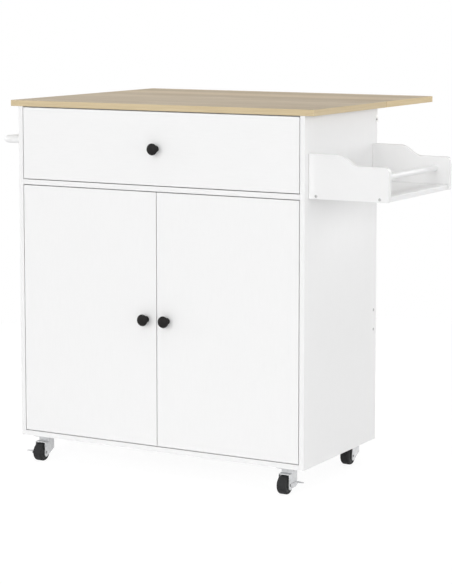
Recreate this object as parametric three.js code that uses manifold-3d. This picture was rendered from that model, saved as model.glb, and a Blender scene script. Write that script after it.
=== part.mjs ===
// A kitchen island on casters: a cupboard with a drawer above two doors, a drop leaf behind the
// worktop, a spice rack on the right and a towel bar on the left.
// Millimetres, +Z up, -Y is the front. Pieces are placed from the carcass: x = 0 is its middle,
// y = 0 its front face and z = 0 the floor. The whole island is then centred on its footprint.
import * as THREE from 'three';
import { mergeVertices } from 'three/addons/utils/BufferGeometryUtils.js';
import Module from 'manifold-3d';

const wasm = await Module();
wasm.setup();

// ---------------------------------------------------------------- driving dimensions
const WIDTH = 806; // carcass, outside of one side panel to the outside of the other
const DEPTH = 396;
const BASE = 63; // underside of the carcass, which is the casters' height
const TOP = 900; // top of the carcass, underside of the worktop
const BOARD = 12.5; // carcass boards
const FRONT = 15; // doors and drawer front
const REVEAL = 2; // gap round the doors and the drawer front
const SEAT = 0.3; // gap left where a shaped piece meets its neighbour

const WORKTOP = { thickness: 15, overhang: 23, rear: 397 };
const LEAF = { front: 399, rear: 684 };
const DIVIDER = { bottom: 704.5, top: 717 };
const SHELF = { bottom: 372, front: 25, rear: 374, side: 1.5 };
const REAR_RAIL = { front: 376.5, height: 80, midBottom: 330 };
const FRONT_RAIL = { front: 18, depth: 60 };
const BACK = { front: 389, thickness: 3 };

const KNOB = { projection: 25, headRadius: 14.5, fromCentre: 29.5 };
const DRAWER = { top: 897.5, boxBottom: 729, boxTop: 869, boxRear: 365, side: 12, base: 3, baseLift: 4 };
const RUNNER = {
  middle: 790, gauge: 1.2, front: 18, length: 350, room: 13, depth: 9.2,
  cabinetHeight: 45, drawerHeight: 35, drawerShorter: 10,
};
const HINGE = {
  fromEdge: 22.5, fromEnd: 80, cupRadius: 17.5, cupDepth: 10.5, pocketRadius: 17.9,
  flangeWidth: 18, flangeHeight: 54, flangeGauge: 1.2,
  baseFront: 38, baseRear: 74, baseHeight: 48, baseGauge: 2,
  armFront: 20, armRear: 76, armHeight: 14, armProud: 13,
  tongueFront: 17.5, tongueRear: 22, tongueHeight: 12, tongueReach: 38,
};

const TOWEL_BAR = { radius: 9, reach: 71, height: 813.5, inset: 28, bend: 20 };
const RACK = {
  front: 19, rear: 369, board: 15, bottom: 706, low: 786.5, high: 811.7, reach: 205,
  shelfTop: 719, shelfThickness: 12, shelfReach: 203, curveStart: 70, curveEnd: 131,
  curveLead: 20, curveTail: 15, topCorner: 11, bottomCorner: 5,
  railRadius: 7.5, railReach: 168, railHeight: 758,
};
const CASTER = {
  fromMiddle: 349, fromEdge: 26.5, plate: 44, plateGauge: 2.5, raceRadius: 14, trail: 18.5,
  wheelRadius: 22.5, wheelWidth: 25, shoulder: 4.7, hubRadius: 9, dish: 1.2, forkWidth: 30.8,
  gauge: 1.8, axleRadius: 3, endRadius: 7.2, crownTop: 58, crownFront: -6.8, crownRear: 16.7,
  hoodTop: 49.2, hoodFront: -22.4, heelHeight: 31,
};
const PEDAL = {
  front: -17, rear: 17, top: 25.3, bottom: 14.5, nose: 20, toe: -8, heel: 4,
  tabFront: 2.5, tabRear: 17, tabReach: 20.5, tipFront: 8, tipRear: 14, turnedAbout: -9,
};
const LEAF_HINGE = {
  y: 394.7, z: 897.3, radius: 2.4, gauge: 1.2, length: 700, knuckles: 7, flap: 26,
  wall: 0.9, pinRadius: 1.1, capRadius: 2, capLength: 3,
};
const STAY = {
  fromMiddle: 300, y: 395.2, z: 817, length: 155, tail: 1.4, width: 16, gauge: 3, rise: 30,
  eyeRadius: 1.1, pinRadius: 0.9, ear: 2.5, earGauge: 2.2, plateBelow: 25, plateAbove: 35,
};
const TRACK = {
  front: 440, rear: 620, fromStay: 14, width: 6, depth: 4.5, stop: 7, slotBottom: 3.6, slotTop: 1.4,
};

// ---------------------------------------------------------------- derived places
const side = WIDTH / 2;
const inside = side - BOARD;
const backFace = BACK.front + BACK.thickness;
const frontInside = inside - REVEAL; // outer edge of the doors and the drawer front
const deckTop = TOP + WORKTOP.thickness;
const worktopSide = side + WORKTOP.overhang;
const doorBottom = BASE + BOARD + REVEAL;
const doorTop = DIVIDER.bottom - REVEAL;
const drawerBottom = DIVIDER.top + REVEAL;

// ---------------------------------------------------------------- materials
const finish = (color, roughness, metalness = 0) =>
  new THREE.MeshStandardMaterial({ color, roughness, metalness });
const WHITE = [0xf2f2f0, 0.5];
const INNER = [0xeceae6, 0.6];
const OAK = [0xc9b592, 0.45];
const ZINC = [0xc3c5c7, 0.35, 0.9];
const STEEL = [0xb4b6b8, 0.3, 1];
const BLACK = [0x262523, 0.45];
const TYRE = [0x2b2b2b, 0.7];

// ---------------------------------------------------------------- ways of making a piece
const island = new THREE.Group();

function add(name, geometry, look, parent = island) {
  const mesh = new THREE.Mesh(geometry, finish(...look));
  mesh.name = name;
  parent.add(mesh);
  return mesh;
}

// A block between two corners.
function block([x0, y0, z0], [x1, y1, z1]) {
  return new THREE.BoxGeometry(x1 - x0, y1 - y0, z1 - z0)
    .translate((x0 + x1) / 2, (y0 + y1) / 2, (z0 + z1) / 2);
}

// An outline drawn as (y, z), given a thickness along x.
function plateAcross(outline, x0, thickness) {
  const turn = new THREE.Matrix4().makeBasis(
    new THREE.Vector3(0, 1, 0), new THREE.Vector3(0, 0, 1), new THREE.Vector3(1, 0, 0));
  return new THREE.ExtrudeGeometry(outline, { depth: thickness, bevelEnabled: false, curveSegments: 6 })
    .applyMatrix4(turn).translate(x0, 0, 0);
}

// An outline drawn as (x, z), given a thickness along y.
function plateAlong(outline, y0, thickness) {
  return new THREE.ExtrudeGeometry(outline, { depth: thickness, bevelEnabled: false, curveSegments: 8 })
    .rotateX(Math.PI / 2).translate(0, y0 + thickness, 0);
}

function polygon(points) {
  return new THREE.Shape(points.map(([u, v]) => new THREE.Vector2(u, v)));
}

// A round bar from one place along x to another, its axis at (y, z).
function barAcross(radius, x0, x1, y, z, sides = 16) {
  return new THREE.CylinderGeometry(radius, radius, x1 - x0, sides)
    .rotateZ(Math.PI / 2).translate((x0 + x1) / 2, y, z);
}

// A round bar from one place along y to another, its axis at (x, z).
function barAlong(radius, y0, y1, x, z, sides = 24) {
  return new THREE.CylinderGeometry(radius, radius, y1 - y0, sides)
    .translate(x, (y0 + y1) / 2, z);
}

function solid(geometry) {
  const bare = geometry.clone();
  bare.deleteAttribute('normal');
  bare.deleteAttribute('uv');
  const merged = mergeVertices(bare, 1e-4);
  return new wasm.Manifold(new wasm.Mesh({
    numProp: 3,
    vertProperties: new Float32Array(merged.attributes.position.array),
    triVerts: new Uint32Array(merged.index.array),
  }));
}

function geometryOf(shape) {
  const mesh = shape.getMesh();
  const geometry = new THREE.BufferGeometry();
  geometry.setAttribute('position', new THREE.BufferAttribute(mesh.vertProperties, 3));
  geometry.setIndex(new THREE.BufferAttribute(mesh.triVerts, 1));
  return geometry;
}

const joined = (...pieces) => geometryOf(pieces.map(solid).reduce((a, b) => a.add(b)));

function cut(piece, ...tools) {
  return geometryOf(tools.map(solid).reduce((rest, tool) => rest.subtract(tool), solid(piece)));
}

// ---------------------------------------------------------------- carcass
function addCarcass() {
  add('side_panel_left', block([-side, 0, BASE], [-inside, DEPTH, TOP]), WHITE);
  add('side_panel_right', block([inside, 0, BASE], [side, DEPTH, TOP]), WHITE);
  add('bottom_panel', block([-inside, 0, BASE], [inside, BACK.front, BASE + BOARD]), WHITE);
  add('divider_panel', block([-inside, 0, DIVIDER.bottom], [inside, BACK.front, DIVIDER.top]), WHITE);
  add('front_top_rail', block(
    [-inside, FRONT_RAIL.front, TOP - BOARD], [inside, FRONT_RAIL.front + FRONT_RAIL.depth, TOP]), INNER);
  const railBottoms = { rear_top_rail: TOP - REAR_RAIL.height, rear_mid_rail: REAR_RAIL.midBottom };
  for (const [name, bottom] of Object.entries(railBottoms)) {
    add(name, block(
      [-inside, REAR_RAIL.front, bottom], [inside, BACK.front, bottom + REAR_RAIL.height]), INNER);
  }
  add('back_panel', block([-inside, BACK.front, BASE], [inside, backFace, TOP]), WHITE);
  add('cupboard_shelf', block(
    [-inside + SHELF.side, SHELF.front, SHELF.bottom],
    [inside - SHELF.side, SHELF.rear, SHELF.bottom + BOARD]), WHITE);
  add('worktop', block([-worktopSide, 0, TOP], [worktopSide, WORKTOP.rear, deckTop]), OAK);
}

// ---------------------------------------------------------------- knobs
// A turned mushroom knob that stands on the front plane and points to the front.
function knob(x, z) {
  const r = KNOB.headRadius;
  const p = KNOB.projection;
  const profile = [
    [0, 0], [8, 0], [7.2, 3], [5.6, 8], [6.4, 12], [r - 4, p - 10.6], [r - 1, p - 8.4],
    [r, p - 5.8], [r - 1.2, p - 3], [r - 5, p - 0.8], [0, p],
  ].map(([radius, out]) => new THREE.Vector2(radius, out));
  return new THREE.LatheGeometry(profile, 24).rotateZ(Math.PI).translate(x, -SEAT, z);
}

// ---------------------------------------------------------------- drawer
// A channel along y, open towards the other member of its runner.
function channel(web, lip, height) {
  const low = RUNNER.middle - height / 2;
  const high = RUNNER.middle + height / 2;
  const inner = web + Math.sign(lip - web) * RUNNER.gauge;
  return polygon([
    [web, low], [lip, low], [lip, low + RUNNER.gauge], [inner, low + RUNNER.gauge],
    [inner, high - RUNNER.gauge], [lip, high - RUNNER.gauge], [lip, high], [web, high],
  ]);
}

function addDrawer() {
  const boxSide = inside - RUNNER.room;
  const boxInside = boxSide - DRAWER.side;
  const backFront = DRAWER.boxRear - DRAWER.side;
  add('drawer_front', block([-frontInside, 0, drawerBottom], [frontInside, FRONT, DRAWER.top]), WHITE);
  add('drawer_side_left', block(
    [-boxSide, FRONT, DRAWER.boxBottom], [-boxInside, DRAWER.boxRear, DRAWER.boxTop]), INNER);
  add('drawer_side_right', block(
    [boxInside, FRONT, DRAWER.boxBottom], [boxSide, DRAWER.boxRear, DRAWER.boxTop]), INNER);
  add('drawer_back', block(
    [-boxInside, backFront, DRAWER.boxBottom], [boxInside, DRAWER.boxRear, DRAWER.boxTop]), INNER);
  const baseBottom = DRAWER.boxBottom + DRAWER.baseLift;
  add('drawer_bottom', block(
    [-boxInside, FRONT, baseBottom], [boxInside, backFront, baseBottom + DRAWER.base]), INNER);
  add('drawer_knob', knob(0, (drawerBottom + DRAWER.top) / 2), BLACK);
  for (const [hand, s] of [['left', -1], ['right', 1]]) {
    const wall = inside - SEAT;
    const face = boxSide + SEAT;
    const cabinet = channel(s * wall, s * (wall - RUNNER.depth), RUNNER.cabinetHeight);
    const moving = channel(s * face, s * (face + RUNNER.depth), RUNNER.drawerHeight);
    const movingLength = RUNNER.length - RUNNER.drawerShorter;
    add(`runner_cabinet_${hand}`, plateAlong(cabinet, RUNNER.front, RUNNER.length), ZINC);
    add(`runner_drawer_${hand}`, plateAlong(moving, RUNNER.front, movingLength), ZINC);
  }
}

// ---------------------------------------------------------------- doors
function addDoors() {
  const heights = { lower: doorBottom + HINGE.fromEnd, upper: doorTop - HINGE.fromEnd };
  for (const [hand, s] of [['left', -1], ['right', 1]]) {
    const edges = [s * frontInside, s * REVEAL / 2].sort((a, b) => a - b);
    const cupX = s * (frontInside - HINGE.fromEdge);
    const pockets = Object.values(heights).map((z) =>
      barAlong(HINGE.pocketRadius, FRONT - HINGE.cupDepth - 2 * SEAT, FRONT + 1, cupX, z));
    const board = block([edges[0], 0, doorBottom], [edges[1], FRONT, doorTop]);
    add(`door_${hand}`, cut(board, ...pockets), WHITE);
    add(`door_knob_${hand}`, knob(s * KNOB.fromCentre, (doorBottom + doorTop) / 2), BLACK);
    for (const [level, z] of Object.entries(heights)) {
      add(`hinge_cup_${hand}_${level}`, hingeCup(cupX, z), ZINC);
      add(`hinge_arm_${hand}_${level}`, hingeArm(s, z), ZINC);
    }
  }
}

// The cup sits in the door's back, and its flange lies on the door.
function hingeCup(x, z) {
  const { cupRadius, cupDepth, flangeWidth, flangeHeight, flangeGauge } = HINGE;
  const flangeFront = FRONT + SEAT;
  return joined(
    barAlong(cupRadius, FRONT - cupDepth, flangeFront + flangeGauge / 2, x, z),
    block(
      [x - flangeWidth / 2, flangeFront, z - flangeHeight / 2],
      [x + flangeWidth / 2, flangeFront + flangeGauge, z + flangeHeight / 2]));
}

// The arm is screwed to the side panel and reaches over the cup. Its base, its arm and its
// tongue overlap a little, so that they are one body.
function hingeArm(s, z) {
  const wall = s * (inside - SEAT);
  const lap = 0.5;
  const between = (a, b, y0, y1, height) => {
    const [x0, x1] = [wall - s * a, wall - s * b].sort((m, n) => m - n);
    return block([x0, y0, z - height / 2], [x1, y1, z + height / 2]);
  };
  return joined(
    between(0, HINGE.baseGauge, HINGE.baseFront, HINGE.baseRear, HINGE.baseHeight),
    between(HINGE.baseGauge - lap, HINGE.armProud, HINGE.armFront, HINGE.armRear, HINGE.armHeight),
    between(
      HINGE.armProud - lap, HINGE.tongueReach, HINGE.tongueFront, HINGE.tongueRear,
      HINGE.tongueHeight));
}

// ---------------------------------------------------------------- drop leaf, its hinge and stays
// One flap of the hinge: a plate and every second knuckle of the row.
function hingeFlap(plate, first) {
  const pitch = LEAF_HINGE.length / LEAF_HINGE.knuckles;
  const start = -LEAF_HINGE.length / 2;
  const ring = new THREE.Shape();
  ring.absarc(LEAF_HINGE.y, LEAF_HINGE.z, LEAF_HINGE.radius, 0, 2 * Math.PI);
  const bore = new THREE.Path();
  bore.absarc(LEAF_HINGE.y, LEAF_HINGE.z, LEAF_HINGE.radius - LEAF_HINGE.wall, 0, 2 * Math.PI);
  ring.holes.push(bore);
  const knuckles = [];
  for (let i = first; i < LEAF_HINGE.knuckles; i += 2) {
    knuckles.push(plateAcross(ring, start + i * pitch + SEAT, pitch - 2 * SEAT));
  }
  return { knuckles, clear: clearedBetween(plate, first, start, pitch) };
}

// The plate is cut back beside the other flap's knuckles.
function clearedBetween(plate, first, start, pitch) {
  const reach = LEAF_HINGE.radius + SEAT;
  const tools = [];
  for (let i = 1 - first; i < LEAF_HINGE.knuckles; i += 2) {
    tools.push(block(
      [start + i * pitch - SEAT, LEAF_HINGE.y - reach, LEAF_HINGE.z - reach],
      [start + (i + 1) * pitch + SEAT, LEAF_HINGE.y + reach, LEAF_HINGE.z + reach]));
  }
  const boreRadius = LEAF_HINGE.radius - LEAF_HINGE.wall;
  const core = barAcross(boreRadius, start - 1, -start + 1, LEAF_HINGE.y, LEAF_HINGE.z);
  return cut(plate, core, ...tools);
}

function addLeaf() {
  const half = LEAF_HINGE.length / 2;
  const { y, z, radius, gauge, flap, pinRadius, capRadius, capLength } = LEAF_HINGE;
  add('drop_leaf', block([-worktopSide, LEAF.front, TOP], [worktopSide, LEAF.rear, deckTop]), OAK);

  const upright = block([-half, y - radius, z - flap], [half, y - radius + gauge, z]);
  const fixed = hingeFlap(upright, 0);
  const pin = barAcross(pinRadius, -half, half, y, z, 8);
  const caps = [-half, half - capLength].map((x) =>
    barAcross(capRadius, x, x + capLength, y, z, 12));
  add('leaf_hinge_fixed', joined(fixed.clear, ...fixed.knuckles, pin, ...caps), STEEL);

  const level = block([-half, y, z + radius - gauge], [half, LEAF.front + flap, z + radius]);
  const moving = hingeFlap(level, 1);
  add('leaf_hinge_moving', joined(moving.clear, ...moving.knuckles), STEEL);

  for (const [hand, s] of [['left', -1], ['right', 1]]) addStay(hand, s * STAY.fromMiddle, s);
}

// A flat bar pivots on a bracket on the back of the carcass. Its far end runs in the track under
// the leaf. That end is free here, with room round it, so the bar can turn with the leaf.
function addStay(hand, x, s) {
  const { y, z, length, tail, width, gauge, rise, ear, earGauge, pinRadius } = STAY;
  const half = width / 2;
  const lugReach = 2;
  const lugs = [x - half - ear, x + half + SEAT].map((x0) =>
    block([x0, backFace + SEAT, z - lugReach], [x0 + earGauge, y + lugReach - 0.1, z + lugReach]));
  const plate = block(
    [x - half - ear, backFace + SEAT, z - STAY.plateBelow],
    [x + half + ear, backFace + 1, z + STAY.plateAbove]);
  const pin = barAcross(pinRadius, x - half - 1, x + half + 1, y, z, 10);
  add(`stay_bracket_${hand}`, joined(plate, ...lugs, pin), STEEL);

  const bar = polygon([
    [-tail, -gauge / 2], [length, -gauge / 2], [length, gauge / 2], [-tail, gauge / 2]]);
  const eye = new THREE.Path();
  eye.absarc(0, 0, STAY.eyeRadius, 0, 2 * Math.PI);
  bar.holes.push(eye);
  const stay = add(`stay_bar_${hand}`, plateAcross(bar, -half, width), STEEL);
  stay.position.set(x, y, z);
  stay.rotation.x = THREE.MathUtils.degToRad(rise);

  const trackX = x + s * TRACK.fromStay;
  const top = LEAF_HINGE.z + LEAF_HINGE.radius;
  const track = block(
    [trackX - TRACK.width / 2, TRACK.front, top - TRACK.depth],
    [trackX + TRACK.width / 2, TRACK.rear, top]);
  const slot = block(
    [trackX - TRACK.width, TRACK.front + TRACK.stop, top - TRACK.slotBottom],
    [trackX + TRACK.width, TRACK.rear - TRACK.stop, top - TRACK.slotTop]);
  add(`stay_track_${hand}`, cut(track, slot), STEEL);
}

// ---------------------------------------------------------------- towel bar
// A round tube bent to a U, both ends on the left side panel.
function addTowelBar() {
  const { radius, reach, height, inset, bend } = TOWEL_BAR;
  const wall = -side - SEAT;
  const out = -side - reach + radius;
  const [front, rear] = [inset, DEPTH - inset];
  const at = (x, y) => new THREE.Vector3(x, y, height);
  const path = new THREE.CurvePath();
  path.add(new THREE.LineCurve3(at(wall, front), at(out + bend, front)));
  path.add(new THREE.QuadraticBezierCurve3(at(out + bend, front), at(out, front), at(out, front + bend)));
  path.add(new THREE.LineCurve3(at(out, front + bend), at(out, rear - bend)));
  path.add(new THREE.QuadraticBezierCurve3(at(out, rear - bend), at(out, rear), at(out + bend, rear)));
  path.add(new THREE.LineCurve3(at(out + bend, rear), at(wall, rear)));
  const section = new THREE.Shape();
  section.absarc(0, 0, radius, 0, 2 * Math.PI);
  const tube = new THREE.ExtrudeGeometry(section, { extrudePath: path, steps: 60, curveSegments: 6 });
  add('towel_bar', tube, WHITE);
}

// ---------------------------------------------------------------- spice rack
function addRack() {
  const wall = side + SEAT;
  const outer = side + RACK.reach;
  const { topCorner, bottomCorner } = RACK;
  const curveOuter = side + RACK.curveEnd;
  const curveInner = side + RACK.curveStart;
  const outline = new THREE.Shape();
  outline.moveTo(wall, RACK.bottom);
  outline.lineTo(outer - bottomCorner, RACK.bottom);
  outline.absarc(outer - bottomCorner, RACK.bottom + bottomCorner, bottomCorner, -Math.PI / 2, 0);
  outline.lineTo(outer, RACK.low - topCorner);
  outline.absarc(outer - topCorner, RACK.low - topCorner, topCorner, 0, Math.PI / 2);
  outline.lineTo(curveOuter, RACK.low);
  outline.bezierCurveTo(
    curveOuter - RACK.curveTail, RACK.low, curveInner + RACK.curveLead, RACK.high,
    curveInner, RACK.high);
  outline.lineTo(wall, RACK.high);
  add('rack_board_front', plateAlong(outline, RACK.front, RACK.board), WHITE);
  add('rack_board_rear', plateAlong(outline, RACK.rear, RACK.board), WHITE);

  const inner = [RACK.front + RACK.board + SEAT, RACK.rear - SEAT];
  add('rack_shelf', block(
    [wall, inner[0], RACK.shelfTop - RACK.shelfThickness],
    [side + RACK.shelfReach, inner[1], RACK.shelfTop]), WHITE);
  add('rack_rail', barAlong(
    RACK.railRadius, inner[0], inner[1], side + RACK.railReach, RACK.railHeight), WHITE);
}

// ---------------------------------------------------------------- casters
// Outline of a fork leg, as (y, z) from the swivel axis: it narrows from the crown to the axle.
function legOutline() {
  const { trail, wheelRadius, endRadius, crownTop, crownFront, crownRear, hoodTop } = CASTER;
  const outline = new THREE.Shape();
  outline.moveTo(CASTER.hoodFront, hoodTop);
  outline.absarc(-trail, wheelRadius, endRadius, Math.PI * 0.97, Math.PI * 1.64);
  outline.lineTo(crownRear, CASTER.heelHeight);
  outline.lineTo(crownRear, crownTop);
  outline.lineTo(crownFront, crownTop);
  outline.lineTo(crownFront, hoodTop);
  return outline;
}

function casterFork() {
  const { gauge, forkWidth, crownTop, hoodTop, trail, wheelRadius, axleRadius } = CASTER;
  const { crownFront, crownRear, hoodFront } = CASTER;
  const outer = forkWidth / 2;
  const hood = polygon([
    [crownRear, crownTop], [crownFront, crownTop], [crownFront, hoodTop], [hoodFront, hoodTop],
    [hoodFront, hoodTop - gauge], [crownFront + gauge, hoodTop - gauge],
    [crownFront + gauge, crownTop - gauge], [crownRear, crownTop - gauge],
  ]);
  return joined(
    plateAcross(legOutline(), -outer, gauge), plateAcross(legOutline(), outer - gauge, gauge),
    plateAcross(hood, -outer + gauge / 2, forkWidth - gauge),
    barAcross(axleRadius, -outer, outer, -trail, wheelRadius));
}

// The wheel is turned round its own axle: a hub with a bore, a dished web and rounded shoulders.
function casterWheel() {
  const { wheelRadius, wheelWidth, shoulder, hubRadius, dish } = CASTER;
  const half = wheelWidth / 2;
  const corner = wheelRadius - shoulder;
  const side = new THREE.Path();
  side.moveTo(CASTER.axleRadius + SEAT, half);
  side.lineTo(hubRadius, half);
  side.lineTo(hubRadius + dish, half - dish);
  side.lineTo(corner - dish, half - dish);
  side.lineTo(corner, half);
  side.absarc(corner, half - shoulder, shoulder, Math.PI / 2, 0, true);
  const right = side.getPoints(4);
  const left = right.map(({ x, y }) => new THREE.Vector2(x, -y));
  const profile = [...left, ...right.reverse(), left[0]];
  return new THREE.LatheGeometry(profile, 32).rotateZ(-Math.PI / 2);
}

function casterPlate() {
  const half = CASTER.plate / 2;
  const bottom = BASE - CASTER.plateGauge;
  const { raceRadius, crownTop } = CASTER;
  const race = new THREE.CylinderGeometry(raceRadius, raceRadius, bottom - crownTop, 24)
    .rotateX(Math.PI / 2).translate(0, 0, (bottom + crownTop) / 2 + SEAT);
  return joined(block([-half, -half, bottom], [half, half, BASE]), race);
}

// The brake lever lies on the outside of a leg and ends in a foot tab that is bent outwards.
function brakePedal() {
  const { forkWidth, gauge } = CASTER;
  const face = forkWidth / 2 + SEAT;
  const { front, rear, top, bottom, nose, toe, heel } = PEDAL;
  const lever = polygon([
    [front, nose], [toe, bottom], [heel, bottom], [rear, nose], [rear, top], [front, top]]);
  const tip = face + PEDAL.tabReach;
  const tab = new THREE.ExtrudeGeometry(polygon([
    [face + gauge / 3, PEDAL.tabFront], [tip, PEDAL.tipFront], [tip, PEDAL.tipRear],
    [face + gauge / 3, PEDAL.tabRear]]), { depth: gauge, bevelEnabled: false });
  return joined(plateAcross(lever, face, gauge), tab.translate(0, 0, top - gauge));
}

function addCasters() {
  const lift = CASTER.wheelRadius;
  for (const [end, y] of [['front', CASTER.fromEdge], ['rear', DEPTH - CASTER.fromEdge]]) {
    for (const [hand, s] of [['left', -1], ['right', 1]]) {
      const caster = new THREE.Group();
      caster.position.set(s * CASTER.fromMiddle, y, 0);
      island.add(caster);
      add(`caster_plate_${end}_${hand}`, casterPlate(), ZINC, caster);
      add(`caster_fork_${end}_${hand}`, casterFork(), ZINC, caster);
      const wheel = add(`caster_wheel_${end}_${hand}`, casterWheel(), TYRE, caster);
      wheel.position.set(0, -CASTER.trail, lift);
      if (end === 'front') {
        const pedal = add(`brake_pedal_${hand}`, brakePedal(), ZINC, caster);
        if (s < 0) { // the left one is the same lever turned round
          pedal.rotation.z = Math.PI;
          pedal.position.y = 2 * PEDAL.turnedAbout;
        }
      }
    }
  }
}

// ---------------------------------------------------------------- the island
addCarcass();
addDrawer();
addDoors();
addLeaf();
addTowelBar();
addRack();
addCasters();

// Centre of the footprint, from the towel bar to the rack and from the knobs to the raised leaf.
const left = -side - TOWEL_BAR.reach;
const right = side + RACK.reach;
const nearest = -KNOB.projection - SEAT;
island.position.set(-(left + right) / 2, -(nearest + LEAF.rear) / 2, 0);

export default island;
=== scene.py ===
# %% [markdown]
# # A drop leaf kitchen island
# The real thing is flat-pack furniture: laminated boards joined into a box on four casters, with
# a drawer, two doors, a leaf that drops behind the worktop, a spice rack and a towel bar.
# The measured model is loaded first and never changes. This lesson gives each piece its real
# surface: eased edges, turned knobs, stamped casters and finishes that are made from nodes.
# Sizes of pieces are written in millimetres and turned into Blender's metres, +Z is up and the
# doors face -Y.

# %% Load the measured model
import math

import bmesh
import bpy
from mathutils import Matrix, Vector
from mathutils.geometry import interpolate_bezier


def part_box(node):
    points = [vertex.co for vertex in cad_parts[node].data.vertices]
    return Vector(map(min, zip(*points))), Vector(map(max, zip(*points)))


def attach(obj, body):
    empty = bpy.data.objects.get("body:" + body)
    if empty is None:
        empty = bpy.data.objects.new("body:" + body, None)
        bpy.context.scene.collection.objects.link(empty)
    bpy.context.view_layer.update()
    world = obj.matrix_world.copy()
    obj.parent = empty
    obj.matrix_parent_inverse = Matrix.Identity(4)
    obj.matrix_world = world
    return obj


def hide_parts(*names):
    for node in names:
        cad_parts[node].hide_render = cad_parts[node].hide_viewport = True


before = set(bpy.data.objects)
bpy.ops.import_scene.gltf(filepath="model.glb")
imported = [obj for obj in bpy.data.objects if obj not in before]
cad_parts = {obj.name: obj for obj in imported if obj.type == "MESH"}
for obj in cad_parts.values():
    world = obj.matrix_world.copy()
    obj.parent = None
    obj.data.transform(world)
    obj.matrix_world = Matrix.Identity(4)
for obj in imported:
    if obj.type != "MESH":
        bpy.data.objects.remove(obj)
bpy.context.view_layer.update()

# %% [markdown]
# ## Shared places
# A cabinet maker measures from the carcass: from its middle, from its front face and from the
# floor. `at` turns such a measure, in millimetres, into a point of the model, so every added
# screw and cap can be written down the way it would be marked on the real board.

# %% Shared places
MM = 0.001
TINY = 0.01 * MM
X, Y, Z = Vector((1, 0, 0)), Vector((0, 1, 0)), Vector((0, 0, 1))
HANDS = {"left": -1, "right": 1}
ENDS = ("front", "rear")

left_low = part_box("side_panel_left")[0]
right_low, right_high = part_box("side_panel_right")
MIDDLE = (left_low.x + right_high.x) / 2
FRONT_FACE = right_low.y
OUTSIDE = (right_high.x - MIDDLE) / MM
INSIDE = (right_low.x - MIDDLE) / MM
DEPTH = (right_high.y - right_low.y) / MM
UNDERSIDE, CARCASS_TOP = right_low.z / MM, right_high.z / MM


def at(across, back, up):
    """A point measured in mm from the carcass's middle, its front face and the floor."""
    return Vector((MIDDLE + across * MM, FRONT_FACE + back * MM, up * MM))


def measured(name):
    """A measured piece's two corners in the same mm as `at` takes."""
    return [Vector(((corner.x - MIDDLE) / MM, (corner.y - FRONT_FACE) / MM, corner.z / MM))
            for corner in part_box(name)]


def middle(name):
    """The middle of a measured piece, in the same mm."""
    low, high = measured(name)
    return (low + high) / 2


print(f"carcass {2 * OUTSIDE:.1f} x {DEPTH:.1f} mm, {UNDERSIDE:.1f} to {CARCASS_TOP:.1f} mm up")

# %% [markdown]
# ## The camera
# The photograph was taken with upright lines kept upright, which a camera does when it looks
# level and shifts its lens. A full shift would push the object out of the other views, so most
# of it is swapped for a slight downward look, from almost the same place.

# %% The camera
CAMERA_PLACE = at(2489.2, -4088.7, 1189)
CAMERA_TURN = math.radians(29.31)
CAMERA_DIP = math.radians(6.15)
CAMERA_SHIFT = -0.15
PICTURE_HEIGHT = 584
FOCAL_PIXELS = 1988.6
SENSOR = 36

camera_data = bpy.data.cameras.new("camera")
camera_data.sensor_width = SENSOR
camera_data.lens = FOCAL_PIXELS * SENSOR / PICTURE_HEIGHT
camera_data.shift_y = CAMERA_SHIFT
camera_data.clip_end = 100
camera = bpy.data.objects.new("camera", camera_data)
bpy.context.scene.collection.objects.link(camera)
camera.location = CAMERA_PLACE
camera.rotation_euler = (math.pi / 2 - CAMERA_DIP, 0, CAMERA_TURN)
bpy.context.scene.camera = camera
print(f"lens {camera_data.lens:.1f} mm")

# %% [markdown]
# ## Wiring nodes
# A material is a tree of nodes. One small function adds a node, sets its options and fills or
# wires its sockets, so that each finish below reads as a short list of what is mixed with what.
# The few kinds of node that every finish needs get a shorter name each.

# %% Wiring nodes
def node(tree, kind, inputs=None, **options):
    """Adds a shader node; an input is a value, or another node's output to wire in."""
    made = tree.nodes.new("ShaderNode" + kind)
    for name, value in options.items():
        setattr(made, name, value)
    for name, value in (inputs or {}).items():
        socket = made.inputs[name]
        if isinstance(value, bpy.types.NodeSocket):
            tree.links.new(value, socket)
        elif socket.type == "RGBA":
            socket.default_value = (*value, 1)
        else:
            socket.default_value = value
    return made


def place_group(tree, group, **inputs):
    """Puts an effect into a material with its own values and returns what it gives."""
    return node(tree, "Group", inputs, node_tree=group).outputs


def ramp(tree, value, low, high, low_to=0.0, high_to=1.0):
    """Stretches the part of a value between low and high."""
    return node(tree, "MapRange", {
        "Value": value, "From Min": low, "From Max": high, "To Min": low_to, "To Max": high_to,
    }).outputs["Result"]


def mix(tree, amount, first, second):
    """Mixes two colours."""
    factor, colour_a, colour_b, result = 0, 6, 7, 2
    return node(tree, "Mix", {factor: amount, colour_a: first, colour_b: second},
                data_type="RGBA").outputs[result]


def sums(tree, operation, first, second):
    """One step of arithmetic on two values."""
    return node(tree, "Math", {0: first, 1: second}, operation=operation).outputs[0]


# %% [markdown]
# ## Effects that several finishes share
# An effect such as grain is built once as a node group, with named inputs and outputs, and each
# material places it with its own values. A group only gives masks: the colours stay in the
# material, where a reader looks for them.

# %% Effects that several finishes share
def effect(name, inputs, outputs):
    """An empty node group with named inputs and outputs."""
    tree = bpy.data.node_groups.new(name, "ShaderNodeTree")
    for label, (kind, value) in inputs.items():
        socket = tree.interface.new_socket(label, in_out="INPUT", socket_type="NodeSocket" + kind)
        if value is not None:
            socket.default_value = value
    for label in outputs:
        tree.interface.new_socket(label, in_out="OUTPUT", socket_type="NodeSocketFloat")
    return tree, tree.nodes.new("NodeGroupInput").outputs, tree.nodes.new("NodeGroupOutput").inputs


# %% [markdown]
# ## Grain
# Wood figure and pressed grain are both long in one direction. Stretching the coordinates along
# the grain before they reach a noise texture does that, so every board uses this one group and
# only says which way its grain runs and how fine it is.

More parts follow.
